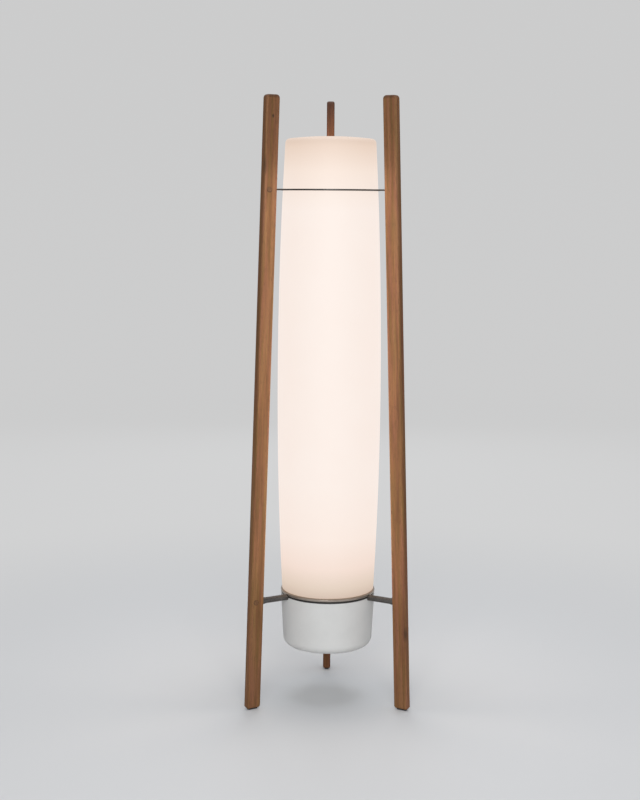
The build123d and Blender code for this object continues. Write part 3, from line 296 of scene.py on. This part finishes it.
def metal(name, dark, light, rough, grain):
    """Bare metal: a grain in its shine, this long in millimetres, and a faint change of tone."""
    made, tree, shader, place = begin(name)
    lines = mottle(tree, place, grain, detail=3.0)
    clouds = mottle(tree, place, METAL_CLOUD_SIZE, detail=2.0)
    tones = ((NOISE_LOW, dark), (NOISE_HIGH, light))
    least, most = (rough + spread for spread in METAL_ROUGH_SPREAD)
    limits = {"Value": lines, **NOISE_SPAN, "To Min": least, "To Max": most}
    looks = {
        "Base Color": add(tree, "ValToRGB", "Color", {"Fac": clouds}, tones),
        "Metallic": 1.0,
        "Roughness": add(tree, "MapRange", "Result", limits),
        "Normal": add(tree, "Bump", "Normal", {"Height": lines, **METAL_RELIEF}),
    }
    join(tree, shader, looks)
    return made


def plastic(name, dark, light, rough, ior, grain):
    """Moulded plastic or rubber: a little uneven in tone, with a moulded grain in millimetres."""
    made, tree, shader, place = begin(name)
    texture = mottle(tree, place, (grain, grain, grain), detail=2.0)
    clouds = mottle(tree, place, PLASTIC_CLOUD_SIZE, detail=3.0)
    tones = ((NOISE_LOW, dark), (NOISE_HIGH, light))
    least, most = (rough + spread for spread in PLASTIC_ROUGH_SPREAD)
    limits = {"Value": texture, **NOISE_SPAN, "To Min": least, "To Max": most}
    looks = {
        "Base Color": add(tree, "ValToRGB", "Color", {"Fac": clouds}, tones),
        "IOR": ior,
        "Roughness": add(tree, "MapRange", "Result", limits),
        "Normal": add(tree, "Bump", "Normal", {"Height": texture, **PLASTIC_RELIEF}),
    }
    join(tree, shader, looks)
    return made


# Blown opal polyethylene with lamps inside: an even warm white that fades towards both ends.
GLOW_STRENGTH = 0.885
GLOW_BY_HEIGHT = (
    (0.0, "#cdb6a4"),
    (0.024, "#e0ccba"),
    (0.066, "#f4ded1"),
    (0.131, "#faeae0"),
    (0.25, "#fbeee6"),
    (0.84, "#fbeee6"),
    (0.923, "#f7e5d8"),
    (0.976, "#ead2c0"),
    (1.0, "#d8bfac"),
)
OPAL_COLOUR = "#66625f"
OPAL_IOR = 1.51
OPAL_CLOUD_SIZE = (140, 140, 140)
OPAL_CLOUD_SHARE = 0.05
OPAL_CLOUD_COLOUR = "#e8c8b0"
OPAL_GRAIN_SIZE = (1.4, 1.4, 1.4)  # drawn coarser than the real skin, so that it shows
OPAL_ROUGH = {"To Min": 0.60, "To Max": 0.72}
OPAL_RELIEF = {"Strength": 0.15, "Distance": 0.0001}


def opal():
    """The diffuser's skin: a satin grain, lit from within by height up the barrel."""
    made, tree, shader, place = begin("opal_polyethylene")
    height = add(tree, "SeparateXYZ", "Z", {"Vector": place})
    limits = {"Value": height, "From Min": barrel_low.z, "From Max": barrel_high.z}
    rise = add(tree, "MapRange", "Result", limits)
    glow = add(tree, "ValToRGB", "Color", {"Fac": rise}, GLOW_BY_HEIGHT)
    clouds = mottle(tree, place, OPAL_CLOUD_SIZE, detail=3.0)
    limits = {"Value": clouds, **NOISE_SPAN, "To Max": OPAL_CLOUD_SHARE}
    share = add(tree, "MapRange", "Result", limits)
    mixed = {MIX_FACTOR: share, MIX_FIRST: glow, MIX_SECOND: srgb(OPAL_CLOUD_COLOUR)}
    grain = mottle(tree, place, OPAL_GRAIN_SIZE, detail=2.0)
    looks = {
        "Base Color": srgb(OPAL_COLOUR),
        "IOR": OPAL_IOR,
        "Roughness": add(tree, "MapRange", "Result", {"Value": grain, **NOISE_SPAN, **OPAL_ROUGH}),
        "Emission Color": add(tree, "Mix", MIX_COLOUR, mixed, data_type="RGBA"),
        "Emission Strength": GLOW_STRENGTH,
        "Normal": add(tree, "Bump", "Normal", {"Height": grain, **OPAL_RELIEF}),
    }
    join(tree, shader, looks)
    return made


# Drawn glass tube, coated inside with white phosphor powder: glossy, and it glows evenly.
POWDER_SIZE = (3.3, 3.3, 3.3)
POWDER_TONES = ((NOISE_LOW, "#efe8dd"), (NOISE_HIGH, "#fbf6ee"))
GLASS_IOR = 1.5
GLASS_ROUGH = 0.12
TUBE_GLOW = 2.0


def lamp_glass():
    """The lamps' tubes: the powder's faint change of tone, seen and lit through the glass."""
    made, tree, shader, place = begin("lamp_glass")
    powder = mottle(tree, place, POWDER_SIZE, detail=2.0)
    tone = add(tree, "ValToRGB", "Color", {"Fac": powder}, POWDER_TONES)
    looks = {
        "Base Color": tone,
        "IOR": GLASS_IOR,
        "Roughness": GLASS_ROUGH,
        "Emission Color": tone,
        "Emission Strength": TUBE_GLOW,
    }
    join(tree, shader, looks)
    return made


def paint(looks, *nodes):
    """Gives CAD nodes their material."""
    for node in nodes:
        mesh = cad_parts[node].data
        mesh.materials.clear()
        mesh.materials.append(looks)


for seed, (side, leg) in enumerate(LEGS.items()):
    paint(hardwood(f"oiled_hardwood_{side}", leg, seed), f"leg_{side}")
paint(plug_wood(), "leg_plugs")
# Thin drawn bar, brushed and soft in its shine. Painted shade: the same steel as the arms and ring,
# given a darker tone for the dim surroundings it reflects.
paint(
    metal("brushed_stainless_bar", "#4b4846", "#575451", rough=0.36, grain=(2.4, 2.4, 2.4)),
    "upper_hoop", "hoop_rods",
)
# Thick bar, turned and brushed. Painted reflection: the same steel, given a little brighter tone for
# the lit barrel it mirrors on its top.
paint(
    metal("brushed_stainless_arm", "#605d5b", "#6e6b68", rough=0.30, grain=(2.4, 2.4, 2.4)),
    "arm_left", "arm_right", "arm_rear",
)
# Turned ring, brushed round. Painted light: the same steel, given a paler and warmer tone for the
# barrel's glow falling on it.
paint(
    metal("brushed_stainless_ring", "#a0968c", "#b0a69c", rough=0.40, grain=(2.4, 2.4, 2.4)),
    "support_ring",
)
# Screws, dowels and pillars with a bright zinc coat.
paint(
    metal("zinc_plated_steel", "#b4b7bb", "#cfd2d6", rough=0.28, grain=(2, 2, 2)),
    "foot_pad_screws", "arm_dowels", "hoop_dowels", "ring_screws", "diffuser_screws", "tray_screws",
    "driver_screws", "terminal_screws", "spine_screws", "bracket_screws", "pillars", "pillar_screws",
    "captive_screws",
)
# Hot-dipped sheet with a dull spangle.
paint(
    metal("galvanised_sheet", "#a3a8ab", "#c3c8ca", rough=0.45, grain=(8, 8, 8)),
    "gear_tray", "lower_lamp_bracket", "upper_lamp_bracket",
)
# Drawn through a die, with faint lines along its length.
paint(
    metal("extruded_aluminium", "#b9bcbf", "#d2d4d6", rough=0.38, grain=(1.1, 1.1, 80)),
    "spine", "spine_foot", "spine_plug",
)
# Thin pressed caps on the lamps: pale and bright.
paint(
    metal("pressed_aluminium", "#c4c4c4", "#dcdcdc", rough=0.3, grain=(2.5, 2.5, 2.5)),
    "lamp_caps_left", "lamp_caps_right",
)
# Threaded inserts, turned and left bright.
paint(
    metal("turned_brass", "#b08a45", "#cfa95c", rough=0.3, grain=(2.5, 2.5, 0.7)),
    "diffuser_inserts",
)
paint(opal(), "diffuser")
# Moulded drum: white, matt, very even.
paint(plastic("white_polyethylene", "#e3e3e1", "#e8e8e6", rough=0.5, ior=1.51, grain=1.5), "drum")
# Flat gasket under the diffuser, cut from sheet: pale and matt.
paint(
    plastic("pale_silicone", "#d3c8be", "#ddd3ca", rough=0.6, ior=1.41, grain=1.1),
    "diffuser_gasket",
)
# Seals, washers and grommet: dark, matt, slightly grainy.
paint(
    plastic("black_rubber", "#262422", "#302e2c", rough=0.75, ior=1.52, grain=1.1),
    "tray_grommet", "drum_seal", "gland_washer", "gland_insert",
)
# Pads and cable gland: black with a dull sheen.
paint(
    plastic("black_nylon", "#18181a", "#262628", rough=0.5, ior=1.53, grain=1.1),
    "foot_pads", "gland_body", "gland_locknut", "gland_nut",
)
# Driver's case: off-white, satin.
paint(plastic("white_polycarbonate", "#d0d0ca", "#deded8", rough=0.5, ior=1.58, grain=1.4), "driver")
# Terminal block: cream, satin.
paint(
    plastic("cream_polyamide", "#c9c8ba", "#d6d5c8", rough=0.5, ior=1.53, grain=1.4),
    "terminal_block",
)
# Leads' insulation: pale grey, smooth.
paint(
    plastic("grey_silicone", "#c4c4be", "#d2d2cc", rough=0.45, ior=1.41, grain=1.4),
    "mains_leads", "lamp_leads",
)
# Lampholders and their rotors: white with some gloss.
paint(
    plastic("white_polyester", "#e2e2de", "#efefeb", rough=0.3, ior=1.57, grain=1.4),
    "lampholders", "lamp_rotors_left", "lamp_rotors_right",
)
paint(lamp_glass(), "lamp_tube_left", "lamp_tube_right")

# Round studio floor with a swept edge and an upright wall, wide of the camera and the lights
FLOOR_RADIUS = 6.0
SWEEP_RADIUS = 2.0
WALL_TOP = 5.2
STRETCH_ROWS = 32  # grid rows on each of disc, sweep and wall
SPOKES = 96


def bowl(name):
    """Studio floor: a disc, a quarter-circle sweep and a wall, turned about the lamp's axis.

    Along the profile, radius r and height z are r = s on the disc, r = R + q sin t and
    z = q - q cos t on the sweep with t from 0 to a right angle, and z rising at r = R + q on the
    wall.
    """
    disc = np.linspace(0.0, FLOOR_RADIUS, STRETCH_ROWS)
    bend = np.linspace(0.0, math.pi / 2, STRETCH_ROWS)[1:]
    wall = np.linspace(SWEEP_RADIUS, WALL_TOP, STRETCH_ROWS)[1:]
    swept = FLOOR_RADIUS + SWEEP_RADIUS * np.sin(bend)
    radius = np.concatenate([disc, swept, np.full(len(wall), FLOOR_RADIUS + SWEEP_RADIUS)])
    risen = SWEEP_RADIUS - SWEEP_RADIUS * np.cos(bend)
    height = np.concatenate([np.zeros(len(disc)), risen, wall])
    turn = np.linspace(0.0, 2 * math.pi, SPOKES, endpoint=False)
    points = np.stack(
        [
            AXIS.x + radius[:, None] * np.cos(turn),
            AXIS.y + radius[:, None] * np.sin(turn),
            np.repeat(height[:, None], SPOKES, axis=1),
        ],
        axis=-1,
    ).reshape(-1, 3)
    row, column = np.meshgrid(np.arange(len(radius) - 1), np.arange(SPOKES), indexing="ij")
    inner = row * SPOKES
    outer = inner + SPOKES
    after = (column + 1) % SPOKES
    corners = [inner + column, inner + after, outer + after, outer + column]
    faces = np.stack(corners, axis=-1).reshape(-1, 4)
    mesh = bpy.data.meshes.new(name)
    mesh.from_pydata(points.tolist(), [], faces.tolist())
    mesh.polygons.foreach_set("use_smooth", np.ones(len(faces), dtype=bool))
    made = bpy.data.objects.new(name, mesh)
    scene.collection.objects.link(made)
    return made


# Rolled studio paint: matt, pale by the lamp, where it takes light and shadow, and greyer far off.
# What the camera, shiny metal and glass see of it is lifted to an even pale grey, which lights
# nothing.
FLOOR_TONES = ((0.0, "#bdbebf"), (1.0, "#454647"))  # by the lamp and far off
NEAR_REACH = 0.5
FAR_REACH = 2.4
LIFT_COLOUR = "#fbfbfb"
NEAR_LIFT = 0.09
FAR_LIFT = 0.61
FLOOR_ROUGH = 0.7
FLOOR_GRIT_SIZE = (17, 17, 17)  # drawn coarser than real paint, so that it shows
FLOOR_RELIEF = {"Strength": 0.2, "Distance": 0.00005}


def studio_paint():
    """Floor and backdrop: one smooth change from the lamp's foot to the far wall."""
    made, tree, shader, place = begin("studio_paint")
    reach = add(tree, "VectorMath", "Value", {0: place}, operation="LENGTH")
    limits = {"Value": reach, "From Min": NEAR_REACH, "From Max": FAR_REACH}
    away = add(tree, "MapRange", "Result", limits, interpolation_type="SMOOTHSTEP")
    camera_ray = add(tree, "LightPath", "Is Camera Ray", {})
    glossy_ray = add(tree, "LightPath", "Is Glossy Ray", {})
    clear_ray = add(tree, "LightPath", "Is Transmission Ray", {})
    shiny = add(tree, "Math", "Value", {0: glossy_ray, 1: clear_ray}, operation="MAXIMUM")
    seen = add(tree, "Math", "Value", {0: camera_ray, 1: shiny}, operation="MAXIMUM")
    limits = {"Value": away, "To Min": NEAR_LIFT, "To Max": FAR_LIFT}
    lift = add(tree, "MapRange", "Result", limits)
    grit = mottle(tree, place, FLOOR_GRIT_SIZE, detail=2.0)
    looks = {
        "Base Color": add(tree, "ValToRGB", "Color", {"Fac": away}, FLOOR_TONES),
        "Roughness": FLOOR_ROUGH,
        "Specular IOR Level": 0.0,
        "Emission Color": srgb(LIFT_COLOUR),
        "Emission Strength": add(tree, "Math", "Value", {0: seen, 1: lift}, operation="MULTIPLY"),
        "Normal": add(tree, "Bump", "Normal", {"Height": grit, **FLOOR_RELIEF}),
    }
    join(tree, shader, looks)
    return made


studio_floor = bowl("studio_floor")
studio_floor.data.materials.append(studio_paint())


def soft_light(name, place, facing, size, power, colour, mirrored=True):
    """Flat light of this width and height, unseen by the camera and, if not mirrored, in metal."""
    lamp = bpy.data.lights.new(name, "AREA")
    lamp.shape = "RECTANGLE"
    lamp.size, lamp.size_y = size
    lamp.energy = power
    lamp.color = srgb(colour)[:3]
    made = bpy.data.objects.new(name, lamp)
    made.location = place
    made.rotation_euler = Vector(facing).to_track_quat("-Z", "Y").to_euler()
    made.visible_camera = False
    made.visible_glossy = mirrored
    scene.collection.objects.link(made)


# Studio light: a key from the camera's side, a weaker one from behind and a cool one from above
soft_light(
    "key_light",
    place=(0.0, -4.4, 2.3),
    facing=(0, 4.4, -1.3),
    size=(2.4, 2.4),
    power=130,
    colour="#ffffff",
)
soft_light(
    "back_light",
    place=(0.0, 4.4, 2.3),
    facing=(0, -4.4, -1.3),
    size=(2.4, 2.4),
    power=65,
    colour="#ffffff",
    mirrored=False,
)
soft_light(
    "top_light",
    place=(0.2, 0.3, 4.6),
    facing=(-0.2, -0.3, -4.6),
    size=(3.0, 3.0),
    power=93,
    colour="#f4f8ff",
)

# The lit barrel throws more light on the legs than its own white can show, so upright strips close
# to its skin add the rest, facing outwards.
STRIP_COUNT = 6
STRIP_WIDTH = 0.13
STRIP_GAP = 0.002  # outside the barrel's widest place
STRIP_FOOT_MARGIN = 0.030  # left free at the barrel's dim ends
STRIP_TOP_MARGIN = 0.094
STRIP_POWER = 2.0
STRIP_COLOUR = "#fff0e0"
strip_low = barrel_low.z + STRIP_FOOT_MARGIN
strip_high = barrel_high.z - STRIP_TOP_MARGIN
strip_level = Vector((0, 0, (strip_low + strip_high) / 2))
for index in range(STRIP_COUNT):
    turn = 2 * math.pi * index / STRIP_COUNT
    outwards = Vector((math.cos(turn), math.sin(turn), 0))
    soft_light(
        f"glow_strip_{index}",
        place=AXIS_FOOT + strip_level + outwards * (BARREL_RADIUS + STRIP_GAP),
        facing=outwards,
        size=(STRIP_WIDTH, strip_high - strip_low),
        power=STRIP_POWER,
        colour=STRIP_COLOUR,
        mirrored=False,
    )

# Pale, slightly cool surroundings above the wall
WORLD_COLOUR = "#e9edf2"
WORLD_STRENGTH = 0.45
world = bpy.data.worlds.new("studio_world")
world.use_nodes = True
surroundings = {"Color": srgb(WORLD_COLOUR), "Strength": WORLD_STRENGTH}
join(world.node_tree, world.node_tree.nodes["Background"], surroundings)
scene.world = world
scene.view_settings.view_transform = "Standard"

# Camera as fitted to the photo: place, lens, tilt and a slight roll
CAMERA_PLACE = Vector((-0.0255, -4.031, 1.4184))  # from the lamp's axis at the floor
CAMERA_DIP = 7.86  # degrees below the horizon
CAMERA_ROLL = 0.37  # degrees
CAMERA_LENS = 64.94  # millimetres
CAMERA_SENSOR = 36.0  # millimetres
camera_data = bpy.data.cameras.new("photo_camera")
camera_data.lens = CAMERA_LENS
camera_data.sensor_width = CAMERA_SENSOR
camera = bpy.data.objects.new("photo_camera", camera_data)
camera.location = AXIS_FOOT + CAMERA_PLACE
tilt = Matrix.Rotation(math.radians(90 - CAMERA_DIP), 3, "X")
roll = Matrix.Rotation(math.radians(CAMERA_ROLL), 3, "Z")
camera.rotation_euler = (tilt @ roll).to_euler()
scene.collection.objects.link(camera)
scene.camera = camera
